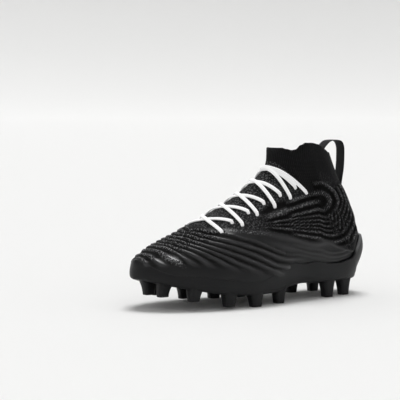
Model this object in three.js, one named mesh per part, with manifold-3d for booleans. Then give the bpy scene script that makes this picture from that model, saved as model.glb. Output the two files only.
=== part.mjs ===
// American football cleat for the left foot: a knitted upper on a moulded plate with its studs.
// Millimetres. +X points to the toe, +Y to the outer (lateral) side, +Z up. The origin is on the
// ground under the middle of the shoe's length and width.
import * as THREE from "three";
import { mergeVertices } from "three/addons/utils/BufferGeometryUtils.js";
import Module from "manifold-3d";

const wasm = await Module();
wasm.setup();

// Driving sizes of the last and the upper
const UPPER_LENGTH = 287;
const BALL_WIDTH = 103;
const HEEL_WIDTH = 72;
const COLLAR_WIDTH = 61;
const TOE_HEIGHT = 46;
const INSTEP_HEIGHT = 124;
const COLLAR_HEIGHT = 140;
const TOE_SPRING = 19;
const HEEL_RISE = 5;
const ARCH_RISE = 2;
const TIP_HEIGHT = 14;
const RIM_WAVE = 6.3;
const UPPER_WALL = 2.4;
const KNIT_STEP = 0.5;

// Driving sizes of the plate, its studs and what rises from it round the upper
const STUD_HEIGHT = 13;
const STUD_LENGTH = 12;
const STUD_WIDTH = 10;
const PLATE_THICKNESS = 4;
const WING_WALL = 2.1;
const SOLE_TUCK = 4;
const BUMPER_HEIGHT = 14;
const WING_HEIGHT = 20;
const COUNTER_HEIGHT = 44;

// Driving sizes of the insole, the laces and the pull loop
const INSOLE_THICKNESS = 3.5;
const LACE_WIDTH = 4.8;
const LACE_THICKNESS = 1.8;
const LOOP_WIDTH = 14;
const LOOP_THICKNESS = 1.2;
const LOOP_RISE = 12.7;
const LOOP_REACH = 26;

// Clearances: between curved pieces that meet, under a lace and round the insole
const FIT_GAP = 0.3;
const LACE_GAP = 0.6;
const INSOLE_GAP = 1;

// Where the ball flexes, and how the toe curls up from there
const FLEX_SHARE = 0.09;
const TOE_CURL = 1.75;
const BASE = STUD_HEIGHT + PLATE_THICKNESS + FIT_GAP;

// How finely the surfaces are divided
const COLUMNS = 12;
const TOE_STEPS = 5;
const ROW_STEP = 0.5;

const mix = (a, b, t) => a + (b - a) * t;
const clamp = (t, low = 0, high = 1) => Math.min(high, Math.max(low, t));
const smooth = (t) => {
  const s = clamp(t);
  return s * s * (3 - 2 * s);
};

// Height of the upper's lower edge above the ground: toe spring in front of the ball, a raised heel.
function footbed(x) {
  const flex = FLEX_SHARE * UPPER_LENGTH;
  const toward = clamp((x - flex) / (UPPER_LENGTH / 2 - flex), 0, 1.05);
  const back = smooth((0.03 * UPPER_LENGTH - x) / (0.2 * UPPER_LENGTH));
  const waist = smooth(1 - Math.abs(x / UPPER_LENGTH + 0.11) / 0.13);
  return BASE + TOE_SPRING * toward ** TOE_CURL + HEEL_RISE * back + ARCH_RISE * waist;
}

// One row for each section, from the toe box to the collar's rim. top and low are shares of the
// upper's length, from its middle, where the section's upper and lower ends lie; rise is the upper
// end's height as a share of the named height `tall`; lift is the lower end's height above the
// footbed as a share of the collar's height; half and mid are the half width and its middle's
// offset, and ridge the upper end's offset, as shares of the named width `wide`; belly is how far
// up its chord the section is widest; open is the half width left at its lower end; crown is how
// round its upper end is; edge is how far round from its lower end the moulded skin reaches.
const SECTIONS = [
  { top: 0.392, rise: 1.0, tall: TOE_HEIGHT, low: 0.392, lift: 0, half: 0.365, mid: -0.05, ridge: -0.08,
    wide: BALL_WIDTH, belly: 0.4, open: 0.93, crown: 0.8, edge: 1.15 },
  { top: 0.325, rise: 1.15, tall: TOE_HEIGHT, low: 0.325, lift: 0, half: 0.437, mid: -0.03, ridge: -0.085,
    wide: BALL_WIDTH, belly: 0.38, open: 0.93, crown: 0.84, edge: 1.12 },
  { top: 0.255, rise: 1.33, tall: TOE_HEIGHT, low: 0.255, lift: 0, half: 0.482, mid: -0.01, ridge: -0.085,
    wide: BALL_WIDTH, belly: 0.34, open: 0.92, crown: 0.9, edge: 0.93 },
  { top: 0.185, rise: 0.585, tall: INSTEP_HEIGHT, low: 0.185, lift: 0, half: 0.498, mid: 0.005, ridge: -0.08,
    wide: BALL_WIDTH, belly: 0.3, open: 0.91, crown: 0.96, edge: 0.68 },
  { top: 0.115, rise: 0.67, tall: INSTEP_HEIGHT, low: 0.11, lift: 0, half: 0.49, mid: 0.018, ridge: -0.07,
    wide: BALL_WIDTH, belly: 0.28, open: 0.9, crown: 1.02, edge: 0.55 },
  { top: 0.052, rise: 0.755, tall: INSTEP_HEIGHT, low: 0.03, lift: 0, half: 0.458, mid: 0.033, ridge: -0.055,
    wide: BALL_WIDTH, belly: 0.27, open: 0.87, crown: 1.04, edge: 0.48 },
  { top: -0.004, rise: 0.845, tall: INSTEP_HEIGHT, low: -0.055, lift: 0, half: 0.418, mid: 0.034, ridge: -0.04,
    wide: BALL_WIDTH, belly: 0.27, open: 0.84, crown: 1.0, edge: 0.41 },
  { top: -0.046, rise: 0.92, tall: INSTEP_HEIGHT, low: -0.15, lift: 0, half: 0.388, mid: 0.026, ridge: -0.03,
    wide: BALL_WIDTH, belly: 0.27, open: 0.83, crown: 0.94, edge: 0.345 },
  { top: -0.071, rise: 0.975, tall: INSTEP_HEIGHT, low: -0.25, lift: 0, half: 0.372, mid: 0.015, ridge: -0.02,
    wide: BALL_WIDTH, belly: 0.27, open: 0.83, crown: 0.88, edge: 0.305 },
  { top: -0.079, rise: 1.01, tall: INSTEP_HEIGHT, low: -0.345, lift: 0, half: 0.5, mid: 0.01, ridge: -0.01,
    wide: HEEL_WIDTH, belly: 0.27, open: 0.84, crown: 0.84, edge: 0.295 },
  { top: -0.084, rise: 1.035, tall: INSTEP_HEIGHT, low: -0.41, lift: 0, half: 0.49, mid: 0.005, ridge: 0,
    wide: HEEL_WIDTH, belly: 0.26, open: 0.74, crown: 0.82, edge: 0.31 },
  { top: -0.087, rise: 1.055, tall: INSTEP_HEIGHT, low: -0.452, lift: 0, half: 0.485, mid: 0, ridge: 0,
    wide: HEEL_WIDTH, belly: 0.245, open: 0.5, crown: 0.8, edge: 0.37 },
  { top: -0.088, rise: 1.07, tall: INSTEP_HEIGHT, low: -0.476, lift: 0.04, half: 0.48, mid: 0, ridge: 0,
    wide: HEEL_WIDTH, belly: 0.235, open: 0, crown: 0.8, edge: 0.43 },
  { top: -0.089, rise: 1.085, tall: INSTEP_HEIGHT, low: -0.5, lift: 0.17, half: 0.475, mid: 0, ridge: 0,
    wide: HEEL_WIDTH, belly: 0.24, open: 0, crown: 0.8, edge: 0.43 },
  { top: -0.09, rise: 1.1, tall: INSTEP_HEIGHT, low: -0.474, lift: 0.34, half: 0.46, mid: 0, ridge: 0,
    wide: HEEL_WIDTH, belly: 0.27, open: 0, crown: 0.8, edge: 0.3 },
  { top: -0.091, rise: 0.993, tall: COLLAR_HEIGHT, low: -0.443, lift: 0.52, half: 0.435, mid: 0, ridge: 0,
    wide: HEEL_WIDTH, belly: 0.33, open: 0, crown: 0.8, edge: 0.05 },
  { top: -0.093, rise: 1.01, tall: COLLAR_HEIGHT, low: -0.409, lift: 0.68, half: 0.5, mid: 0, ridge: 0,
    wide: COLLAR_WIDTH, belly: 0.38, open: 0, crown: 0.8, edge: -0.1 },
  { top: -0.096, rise: 1.03, tall: COLLAR_HEIGHT, low: -0.374, lift: 0.835, half: 0.5, mid: 0, ridge: 0,
    wide: COLLAR_WIDTH, belly: 0.42, open: 0, crown: 0.8, edge: -0.1 },
  { top: -0.1, rise: 1.045, tall: COLLAR_HEIGHT, low: -0.347, lift: 0.965, half: 0.5, mid: 0, ridge: 0,
    wide: COLLAR_WIDTH, belly: 0.45, open: 0, crown: 0.8, edge: -0.1 },
];
const CLOSED_ROW = SECTIONS.findIndex((s) => s.open === 0);
const RIM_ROW = SECTIONS.length - 1;

// The rows in millimetres
const rows = SECTIONS.map((s) => ({
  topX: s.top * UPPER_LENGTH,
  topZ: BASE + s.rise * s.tall,
  lowX: s.low * UPPER_LENGTH,
  lift: s.lift * COLLAR_HEIGHT,
  half: s.half * s.wide,
  mid: s.mid * s.wide,
  ridge: s.ridge * s.wide,
  belly: s.belly,
  open: s.open,
  crown: s.crown,
  edge: s.edge,
}));

const curveThrough = (a, b, c, d, t) =>
  b + 0.5 * t * (c - a + t * (2 * a - 5 * b + 4 * c - d + t * (3 * (b - c) + d - a)));

// The section at a row number, which may lie between two rows. Below 0 it is the rounded toe.
function sectionAt(row) {
  const r = clamp(row, 0, RIM_ROW);
  const i = Math.min(Math.floor(r), RIM_ROW - 1);
  const near = [i - 1, i, i + 1, i + 2].map((k) => rows[clamp(k, 0, RIM_ROW)]);
  const made = {};
  for (const key of Object.keys(rows[0])) {
    made[key] = curveThrough(...near.map((s) => s[key]), r - i);
  }
  if (row >= CLOSED_ROW) made.open = 0;
  made.open = clamp(made.open);
  made.lowZ = footbed(made.lowX) + Math.max(0, made.lift);
  if (row < 0) roundTheToe(made, -row);
  return made;
}

// Carries the first sections' taper on and rounds it off, to a short upright edge at the toe's tip.
function roundTheToe(section, turn) {
  const angle = (turn * Math.PI) / 2;
  const [first, second] = rows;
  const forward = (UPPER_LENGTH / 2 - first.topX) * Math.sin(angle);
  const narrow = Math.cos(angle);
  const slope = (key) => (second[key] - first[key]) / (second.topX - first.topX);
  const carried = (key) => first[key] + forward * slope(key);
  const tip = footbed(UPPER_LENGTH / 2) + TIP_HEIGHT;
  section.topX = first.topX + forward;
  section.lowX = section.topX;
  section.lowZ = footbed(section.lowX);
  section.half = carried("half") * narrow;
  section.mid = carried("mid");
  section.ridge = mix(section.mid, carried("ridge"), narrow);
  section.topZ = mix(tip, carried("topZ"), narrow);
}

// The collar's rim rises beside the ankle on the lateral side and dips in front of it: around runs
// as on the skin, and lift is a share of the named wave. The medial side is level.
const RIM_LINE = [
  { around: 0, lift: -0.2 },
  { around: 0.3, lift: -0.2 },
  { around: 0.4, lift: 0.2 },
  { around: 0.5, lift: 0.87 },
  { around: 0.56, lift: 1 },
  { around: 0.63, lift: 0.9 },
  { around: 0.68, lift: 0.45 },
  { around: 0.74, lift: -0.4 },
  { around: 0.78, lift: -0.55 },
  { around: 0.84, lift: -0.4 },
  { around: 0.9, lift: -0.2 },
  { around: 1, lift: -0.2 },
];

function rimWave(row, around, side) {
  const near = smooth((row - RIM_ROW + 4) / 4);
  if (side < 0) return near * RIM_WAVE * RIM_LINE[0].lift;
  const a = clamp(around);
  const next = Math.max(1, RIM_LINE.findIndex((place) => place.around >= a));
  const [from, to] = [RIM_LINE[next - 1], RIM_LINE[next]];
  const lift = mix(from.lift, to.lift, smooth((a - from.around) / (to.around - from.around)));
  return near * RIM_WAVE * lift;
}

// A point of the upper's outer surface. around runs from 0 at the section's lower end to 1 at its
// upper end; side is 1 on the lateral side and -1 on the medial side.
function skin(row, around, side) {
  const s = sectionAt(row);
  const start = Math.asin(s.open);
  const angle = mix(start, Math.PI, clamp(around));
  const sine = Math.sin(angle);
  const lower = angle < Math.PI / 2;
  const drop = Math.cos(start);
  const along = lower
    ? s.belly * (1 - Math.cos(angle) / Math.max(drop, 0.05))
    : s.belly - (1 - s.belly) * Math.cos(angle);
  const width = s.half * (lower ? sine : Math.max(sine, 0) ** s.crown);
  const up = clamp(along);
  return new THREE.Vector3(
    mix(s.lowX, s.topX, up),
    mix(s.mid, s.ridge, smooth(up)) + side * width,
    mix(s.lowZ, s.topZ, up) + rimWave(row, around, side),
  );
}

// The outward direction of the skin there. On the middle line both sides share one direction.
function sideOutward(row, around, side) {
  const step = 0.02;
  const r = clamp(row, -1 + step, RIM_ROW - step);
  const a = clamp(around, step, 1 - step);
  const alongRow = skin(r + step, a, side).sub(skin(r - step, a, side));
  const alongRing = skin(r, a + step, side).sub(skin(r, a - step, side));
  return alongRow.cross(alongRing).multiplyScalar(side).normalize();
}

function outward(row, around, side) {
  const direction = sideOutward(row, around, side);
  const onMiddle = row <= -1 || around >= 1 || (around <= 0 && row >= CLOSED_ROW);
  if (!onMiddle) return direction;
  return direction.add(sideOutward(row, around, -side)).setY(0).normalize();
}

const skinOffset = (row, around, side, distance) =>
  skin(row, around, side).addScaledVector(outward(row, around, side), distance);

// The upper's face: the knit above the moulded skin's edge lies a step lower than the skin.
function face(row, around, side) {
  const knit = smooth((around - sectionAt(row).edge) / 0.05);
  return skinOffset(row, around, side, -KNIT_STEP * knit);
}

// The upper's inside, level with the face at the open lower edge
function lining(row, around, side) {
  if (around > 0 || row >= CLOSED_ROW) return skinOffset(row, around, side, -UPPER_WALL);
  const inward = outward(row, around, side).setZ(0).normalize();
  return skin(row, around, side).addScaledVector(inward, -UPPER_WALL);
}

// Row numbers from the toe's tip to a last row, close together round the tip
function rowsUpTo(last) {
  const list = [];
  for (let k = -TOE_STEPS; k < 0; k += 1) list.push(k / TOE_STEPS);
  for (let row = 0; row <= last; row += ROW_STEP) list.push(row);
  return list;
}

// Places round a section: up the lateral side and down the medial side
const RING = [];
for (let k = -COLUMNS; k <= COLUMNS; k += 1) {
  RING.push({ around: 1 - Math.abs(k) / COLUMNS, side: k <= 0 ? 1 : -1 });
}

// A closed geometry from sheets of points. A sheet's faces look to the side from which its rows
// run up and its columns run to the left. Faces without area are left out.
function closedGeometry(sheets) {
  const positions = [];
  const addFace = (...corners) => {
    const [a, b, c] = corners;
    const apart = Math.min(a.distanceTo(b), b.distanceTo(c), c.distanceTo(a));
    if (apart > 1e-3) corners.forEach((corner) => positions.push(corner.x, corner.y, corner.z));
  };
  for (const sheet of sheets) {
    for (let i = 0; i + 1 < sheet.length; i += 1) {
      for (let j = 0; j + 1 < sheet[i].length; j += 1) {
        addFace(sheet[i][j], sheet[i + 1][j], sheet[i + 1][j + 1]);
        addFace(sheet[i][j], sheet[i + 1][j + 1], sheet[i][j + 1]);
      }
    }
  }
  const geometry = new THREE.BufferGeometry();
  geometry.setAttribute("position", new THREE.Float32BufferAttribute(positions, 3));
  return mergeVertices(geometry, 1e-3);
}

const flipped = (sheet) => sheet.map((line) => [...line].reverse());

const middleOf = (points) =>
  points.reduce((sum, point) => sum.add(point), new THREE.Vector3()).divideScalar(points.length);

// A closed geometry through rings of points, with flat ends
function loft(rings) {
  const closed = rings.map((ring) => [...ring, ring[0]]);
  const collapsed = (ring) => Array(ring.length + 1).fill(middleOf(ring));
  return closedGeometry([[collapsed(rings[0]), ...closed, collapsed(rings.at(-1))]]);
}

// Exact joining and cutting
function solid(geometry) {
  const bare = geometry.clone();
  for (const name of Object.keys(bare.attributes)) {
    if (name !== "position") bare.deleteAttribute(name);
  }
  const merged = mergeVertices(bare, 1e-3);
  const mesh = new wasm.Mesh({
    numProp: 3,
    vertProperties: new Float32Array(merged.attributes.position.array),
    triVerts: new Uint32Array(merged.index.array),
  });
  return new wasm.Manifold(mesh);
}

function geometryOf(body) {
  const mesh = body.getMesh();
  const geometry = new THREE.BufferGeometry();
  geometry.setAttribute("position", new THREE.BufferAttribute(new Float32Array(mesh.vertProperties), 3));
  geometry.setIndex(new THREE.BufferAttribute(new Uint32Array(mesh.triVerts), 1));
  return geometry;
}

// The upper: a face, a lining, the rim between them at the collar and the open lower edge
function upperGeometry() {
  const list = rowsUpTo(RIM_ROW);
  const outer = list.map((row) => RING.map((p) => face(row, p.around, p.side)));
  const inner = list.map((row) => RING.map((p) => lining(row, p.around, p.side)));
  const footRows = list.filter((row) => row <= CLOSED_ROW).length;
  const lateralEdge = outer.slice(0, footRows).map((line, i) => [inner[i][0], line[0]]);
  const medialEdge = outer.slice(0, footRows).map((line, i) => [line.at(-1), inner[i].at(-1)]);
  const rim = [outer.at(-1), inner.at(-1)];
  return closedGeometry([outer, flipped(inner), lateralEdge, medialEdge, rim]);
}

// The space inside a surface that lies at a distance outside the skin, closed underneath at a depth
// below the skin's lower edge, up to a row above the heel counter
const TOP_ROW = 14.5;

function filledSkin(distanceAt, depth, tuck) {
  const lines = rowsUpTo(TOP_ROW).map((row) => {
    const s = sectionAt(row);
    const below = depth * clamp(s.open / 0.5);
    const inset = Math.min(tuck, 0.3 * s.half * s.open);
    const line = RING.map((p) => skinOffset(row, p.around, p.side, distanceAt(row, p.around)));
    const under = (point, side) => {
      if (below === 0) return point;
      return new THREE.Vector3(s.lowX, skin(row, 0, side).y - side * inset, s.lowZ - below);
    };
    const lateral = under(line[0], 1);
    return [lateral, ...line, under(line.at(-1), -1), lateral];
  });
  const middle = middleOf(lines.at(-1));
  return closedGeometry([[...lines, lines.at(-1).map(() => middle)]]);
}

// Where the plate's wall ends on each side, as heights above the footbed: at is a share of the
// upper's length from its middle, lateral and medial are shares of the named height `of`.
const WALL_TOP = [
  { at: 0.56, lateral: 0.97, medial: 1.04, of: BUMPER_HEIGHT },
  { at: 0.487, lateral: 0.97, medial: 1.12, of: BUMPER_HEIGHT },
  { at: 0.465, lateral: 0.66, medial: 1.2, of: BUMPER_HEIGHT },
  { at: 0.44, lateral: 0.54, medial: 1.12, of: BUMPER_HEIGHT },
  { at: 0.4, lateral: 0.56, medial: 0.9, of: BUMPER_HEIGHT },
  { at: 0.35, lateral: 0.7, medial: 0.74, of: BUMPER_HEIGHT },
  { at: 0.29, lateral: 0.75, medial: 0.68, of: BUMPER_HEIGHT },
  { at: 0.21, lateral: 0.5, medial: 0.46, of: WING_HEIGHT },
  { at: 0.1, lateral: 0.5, medial: 0.48, of: WING_HEIGHT },
  { at: 0.05, lateral: 0.66, medial: 0.64, of: WING_HEIGHT },
  { at: 0.0, lateral: 0.94, medial: 0.9, of: WING_HEIGHT },
  { at: -0.05, lateral: 1.08, medial: 1.15, of: WING_HEIGHT },
  { at: -0.14, lateral: 0.82, medial: 1.05, of: WING_HEIGHT },
  { at: -0.2, lateral: 0.93, medial: 0.95, of: WING_HEIGHT },
  { at: -0.27, lateral: 0.78, medial: 0.8, of: WING_HEIGHT },
  { at: -0.36, lateral: 0.84, medial: 0.84, of: WING_HEIGHT },
  { at: -0.4, lateral: 0.5, medial: 0.5, of: COUNTER_HEIGHT },
  { at: -0.42, lateral: 0.73, medial: 0.73, of: COUNTER_HEIGHT },
  { at: -0.438, lateral: 0.96, medial: 0.96, of: COUNTER_HEIGHT },
  { at: -0.47, lateral: 1.0, medial: 1.0, of: COUNTER_HEIGHT },
  { at: -0.56, lateral: 1.0, medial: 1.0, of: COUNTER_HEIGHT },
];

// What lies above the plate's wall on one side, as a solid to cut away
function aboveWall(key) {
  const points = WALL_TOP.map((row) => {
    const x = row.at * UPPER_LENGTH;
    return new THREE.Vector2(x, footbed(x) + row[key] * row.of);
  });
  const line = new THREE.SplineCurve(points).getPoints(4 * points.length);
  const top = BASE + 2 * COLLAR_HEIGHT;
  const shape = new THREE.Shape([
    new THREE.Vector2(line[0].x, top),
    ...line,
    new THREE.Vector2(line.at(-1).x, top),
  ]);
  const block = new THREE.ExtrudeGeometry(shape, { depth: BALL_WIDTH, bevelEnabled: false });
  block.rotateX(Math.PI / 2);
  block.translate(0, key === "lateral" ? BALL_WIDTH - FIT_GAP : FIT_GAP, 0);
  return solid(block);
}

// The plate's wall thins towards its top along the forefoot and keeps its thickness at the heel.
function wallDistance(row, around) {
  const thin = 0.55 * smooth(around / 0.3) * smooth((9 - row) / 2);
  return FIT_GAP + WING_WALL * (1 - thin);
}

// Studs: at is a share of the upper's length and out a share of the ball's width, both from the
// middle; foot is the height of the flat end above the ground as a share of the toe spring; size
// scales the named stud length and width; lean is how far the head lies ahead of the foot, as a
// share of the upper's length.
const STUDS = [
  { at: 0.434, out: -0.117, foot: 0.74, size: 0.95, lean: 0.004 },
  { at: 0.43, out: 0.115, foot: 0.74, size: 0.95, lean: -0.02 },
  { at: 0.348, out: 0.32, foot: 0.52, size: 0.98, lean: -0.022 },
  { at: 0.345, out: -0.345, foot: 0.5, size: 0.98, lean: 0 },
  { at: 0.215, out: 0.405, foot: 0.14, size: 1.0, lean: -0.004 },
  { at: 0.209, out: -0.39, foot: 0.11, size: 1.0, lean: 0 },
  { at: 0.1, out: 0.422, foot: 0, size: 1.02, lean: 0 },
  { at: 0.08, out: -0.362, foot: 0, size: 1.02, lean: 0 },
  { at: -0.028, out: 0.355, foot: 0, size: 0.92, lean: 0 },
  { at: -0.028, out: -0.298, foot: 0, size: 0.92, lean: 0 },
  { at: -0.289, out: 0.27, foot: 0, size: 1.0, lean: 0 },
  { at: -0.265, out: -0.25, foot: 0, size: 1.0, lean: 0 },
  { at: -0.387, out: 0.218, foot: 0, size: 0.95, lean: 0.006 },
  { at: -0.365, out: -0.215, foot: 0, size: 0.95, lean: 0.004 },
];

// One stud: rounded and narrow at its foot. Upwards it flares to both ends and inwards, and its
// outer side leans out to the plate's wall, where the plate is near enough.
const STUD_RINGS = [0, 0.08, 0.35, 0.6, 0.8, 1];
// Growth from foot to head, as an even share and a share that comes near the head
const STUD_FLARE = { along: [0.42, 0.62], across: [0.3, 0.4] };
const STUD_SIDES = 12;
const STUD_LEAN = 0.35;

// The plate's outer half width at a place along the shoe
function wallReach(x, side) {
  let [front, back] = [0, CLOSED_ROW - 1];
  for (let k = 0; k < 20; k += 1) {
    const middle = (front + back) / 2;
    if (sectionAt(middle).lowX > x) front = middle;
    else back = middle;
  }
  return side * skinOffset(front, 0, side, wallDistance(front, 0)).y;
}

function flare(shares, t) {
  return shares[0] * t + shares[1] * t ** 3;
}

function studGeometry(stud) {
  const x = stud.at * UPPER_LENGTH;
  const side = Math.sign(stud.out);
  const out = Math.abs(stud.out) * BALL_WIDTH;
  const foot = stud.foot * TOE_SPRING;
  const head = footbed(x) + PLATE_THICKNESS / 2;
  const footWidth = 0.5 * STUD_WIDTH * stud.size;
  const gap = Math.max(0, wallReach(x, side) - out - footWidth - FIT_GAP);
  const leanOut = Math.min(gap, STUD_LEAN * STUD_WIDTH);
  const rings = STUD_RINGS.map((t) => {
    const edge = 0.08 * smooth(1 - t / 0.08);
    const length = 0.5 * STUD_LENGTH * stud.size * (1 - edge + flare(STUD_FLARE.along, t));
    const width = 0.5 * STUD_WIDTH * stud.size * (1 - edge + flare(STUD_FLARE.across, t));
    const middle = out + footWidth - width + leanOut * t * t;
    const ring = [];
    for (let k = 0; k < STUD_SIDES; k += 1) {
      const angle = (2 * Math.PI * k) / STUD_SIDES;
      const round = (Math.abs(Math.cos(angle)) ** 3 + Math.abs(Math.sin(angle)) ** 3) ** (1 / 3);
      ring.push(new THREE.Vector3(
        x + stud.lean * UPPER_LENGTH * t * t + (length * Math.cos(angle)) / round,
        side * middle + (width * Math.sin(angle)) / round,
        mix(foot, head, t),
      ));
    }
    return ring.reverse();
  });
  return loft(rings);
}

// The plate: a floor, its wall round the upper, and the studs
function plateGeometry() {
  const hollow = solid(filledSkin(() => FIT_GAP, FIT_GAP, 0));
  let plate = solid(filledSkin(wallDistance, FIT_GAP + PLATE_THICKNESS, SOLE_TUCK));
  for (const stud of STUDS) plate = plate.add(solid(studGeometry(stud)));
  plate = plate.subtract(hollow);
  for (const key of ["lateral", "medial"]) plate = plate.subtract(aboveWall(key));
  return geometryOf(plate);
}

// The insole lies on the plate inside the upper's lower edge.
function insoleGeometry() {
  const list = rowsUpTo(CLOSED_ROW - 1.5);
  const inset = UPPER_WALL + INSOLE_GAP;
  const across = (row, height) => {
    const [lateral, medial] = [1, -1].map((side) => skinOffset(row, 0, side, -inset));
    return [0, 0.5, 1].map((t) => {
      const point = lateral.clone().lerp(medial, t);
      return point.setZ(footbed(point.x) + height);
    });
  };
  const top = list.map((row) => across(row, INSOLE_THICKNESS));
  const bottom = list.map((row) => across(row, 0));
  const lateralSide = list.map((row, i) => [bottom[i][0], top[i][0]]);
  const medialSide = list.map((row, i) => [top[i].at(-1), bottom[i].at(-1)]);
  const heelEnd = [top.at(-1), bottom.at(-1)];
  return closedGeometry([top, flipped(bottom), lateralSide, medialSide, heelEnd]);
}

// A band of given width along places on the skin. Each place has its row, how far round it lies
// (0 on the ridge, 1 at the lateral and -1 at the medial lower edge) and its lift off the skin.
function band(places, width, thickness) {
  const placed = places.map(({ row, turn, lift }) => {
    const side = turn < 0 ? -1 : 1;
    return {
      point: skinOffset(row, 1 - Math.abs(turn), side, lift),
      up: outward(row, 1 - Math.abs(turn), side),
    };
  });
  const rings = placed.map(({ point, up }, i) => {
    const before = placed[Math.max(i - 1, 0)].point;
    const after = placed[Math.min(i + 1, placed.length - 1)].point;
    const forward = after.clone().sub(before).normalize();
    const across = new THREE.Vector3().crossVectors(forward, up).normalize();
    const normal = new THREE.Vector3().crossVectors(across, forward);
    const corner = (u, v) =>
      point.clone().addScaledVector(across, u * width).addScaledVector(normal, v * thickness);
    const upper = [corner(0.5, 0), corner(0.36, 0.5), corner(-0.36, 0.5)];
    return [...upper, corner(-0.5, 0), corner(-0.36, -0.5), corner(0.36, -0.5)];
  });
  return solid(loft(rings));
}

// Lacing: each row is a pair of eyelets, with its row on the upper where the lace goes in (low) and
// where it comes out on the way up (high), and how far round from the ridge both lie on the
// lateral side. The ridge leans to the medial side, where they lie nearer to it.
const EYELETS = [
  { low: 2.75, lowTurn: 0.33, high: 3.55, highTurn: 0.28 },
  { low: 3.95, lowTurn: 0.36, high: 4.65, highTurn: 0.28 },
  { low: 5.05, lowTurn: 0.34, high: 5.75, highTurn: 0.29 },
  { low: 6.3, lowTurn: 0.37, high: 7.1, highTurn: 0.32 },
  { low: 7.8, lowTurn: 0.38, high: 9.4, highTurn: 0.33 },
];
const LAST_EYELET = { row: 10.8, turn: 0.34 };
const MEDIAL_TURN = 0.85;
const STRAND_STEPS = 7;
const LINK_STEPS = 2;

// A strand from one place to another; over raises its middle by a share of its thickness, and sag
// is how many rows its middle lies lower than its ends.
function strand(from, to, { steps = STRAND_STEPS, width = LACE_WIDTH, over = 0, sag = 0 }) {
  const places = [];
  for (let k = 0; k <= steps; k += 1) {
    const t = k / steps;
    places.push({
      row: mix(from.row, to.row, t) - sag * Math.sin(Math.PI * t),
      turn: mix(from.turn, to.turn, t),
      lift: LACE_GAP + LACE_THICKNESS * (0.5 + over * Math.sin(Math.PI * t) ** 2),
    });
  }
  return band(places, width, LACE_THICKNESS);
}

function laceGeometry() {
  const pieces = [];
  const place = (row, turn, side) => ({ row, turn: side > 0 ? turn : -MEDIAL_TURN * turn });
  const last = (side) => place(LAST_EYELET.row, LAST_EYELET.turn, side);
  EYELETS.forEach((eyelet, i) => {
    for (const side of [1, -1]) {
      const low = place(eyelet.low, eyelet.lowTurn, side);
      const high = place(eyelet.high, eyelet.highTurn, -side);
      const next = EYELETS[i + 1];
      const onward = next ? place(next.low, next.lowTurn, -side) : last(-side);
      pieces.push(strand(low, high, { over: side > 0 ? 0.7 : 0 }));
      pieces.push(strand(high, onward, { steps: LINK_STEPS }));
    }
  });
  pieces.push(strand(last(1), last(-1), { width: 2 * LACE_WIDTH, over: 0.3, sag: 1.6 }));
  return geometryOf(pieces.reduce((sum, piece) => sum.add(piece)));
}

// The pull loop: a ribbon from inside the collar's back, over, and down the outside of the heel,
// where it is sewn on between two rows of the upper. Inside, the flat ribbon stands off the middle
// of the rounded wall until its edges clear it.
const LOOP_SEWN = { from: 16, to: 15.45 };

function loopGeometry() {
  const half = LOOP_THICKNESS / 2;
  const wallRadius = COLLAR_WIDTH / 2 - UPPER_WALL;
  const stand = wallRadius - Math.sqrt(wallRadius ** 2 - (LOOP_WIDTH / 2) ** 2);
  const inside = (row) => skinOffset(row, 0, 1, -UPPER_WALL - FIT_GAP - half - 2 * stand);
  const outside = (row) => skinOffset(row, 0, 1, 2 * FIT_GAP + half);
  const rim = skin(RIM_ROW, 0, 1);
  const at = (back, up) => new THREE.Vector3(rim.x - back * LOOP_REACH, 0, rim.z + up * LOOP_RISE);
  const route = new THREE.CatmullRomCurve3([
    inside(RIM_ROW - 0.7),
    inside(RIM_ROW - 0.1),
    at(-0.13, 0.35),
    at(0.03, 0.72),
    at(0.24, 1.02),
    at(0.52, 1.1),
    at(0.84, 1),
    at(0.98, 0.55),
    at(1, -0.2),
    at(0.97, -1.35),
    outside(LOOP_SEWN.from).lerp(at(0.92, -2.6), 0.6),
    outside(mix(LOOP_SEWN.from, LOOP_SEWN.to, 0.45)),
    outside(LOOP_SEWN.to),
  ]);
  const count = 24;
  const rings = [];
  for (let k = 0; k <= count; k += 1) {
    const point = route.getPoint(k / count);
    const forward = route.getTangent(k / count);
    const normal = new THREE.Vector3(-forward.z, 0, forward.x);
    const corner = (u, v) =>
      point.clone().addScaledVector(normal, v * LOOP_THICKNESS).setY(u * LOOP_WIDTH);
    rings.push([corner(0.5, -0.5), corner(-0.5, -0.5), corner(-0.5, 0.5), corner(0.5, 0.5)]);
  }
  return loft(rings);
}

const material = (color, roughness) => new THREE.MeshStandardMaterial({ color, roughness, metalness: 0 });

const MATERIALS = {
  knit: material(0x1d1d1f, 0.8),
  plastic: material(0x191a1c, 0.42),
  foam: material(0x2a2a2c, 0.9),
  lace: material(0xf1f1ef, 0.85),
  webbing: material(0x232325, 0.75),
};

const group = new THREE.Group();

function addPart(name, geometry, look) {
  geometry.computeVertexNormals();
  const mesh = new THREE.Mesh(geometry, look);
  mesh.name = name;
  group.add(mesh);
}

addPart("upper", upperGeometry(), MATERIALS.knit);
addPart("outsole_plate", plateGeometry(), MATERIALS.plastic);
addPart("insole", insoleGeometry(), MATERIALS.foam);
addPart("laces", laceGeometry(), MATERIALS.lace);
addPart("pull_loop", loopGeometry(), MATERIALS.webbing);

export default group;
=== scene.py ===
"""Looks of an american football cleat for the left foot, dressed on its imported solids.

Shapes are worked out in the shoe's own millimetres (+X toe, +Y outer side, +Z up, origin on the
ground) and become metres when a mesh is made.
"""
import math

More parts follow.
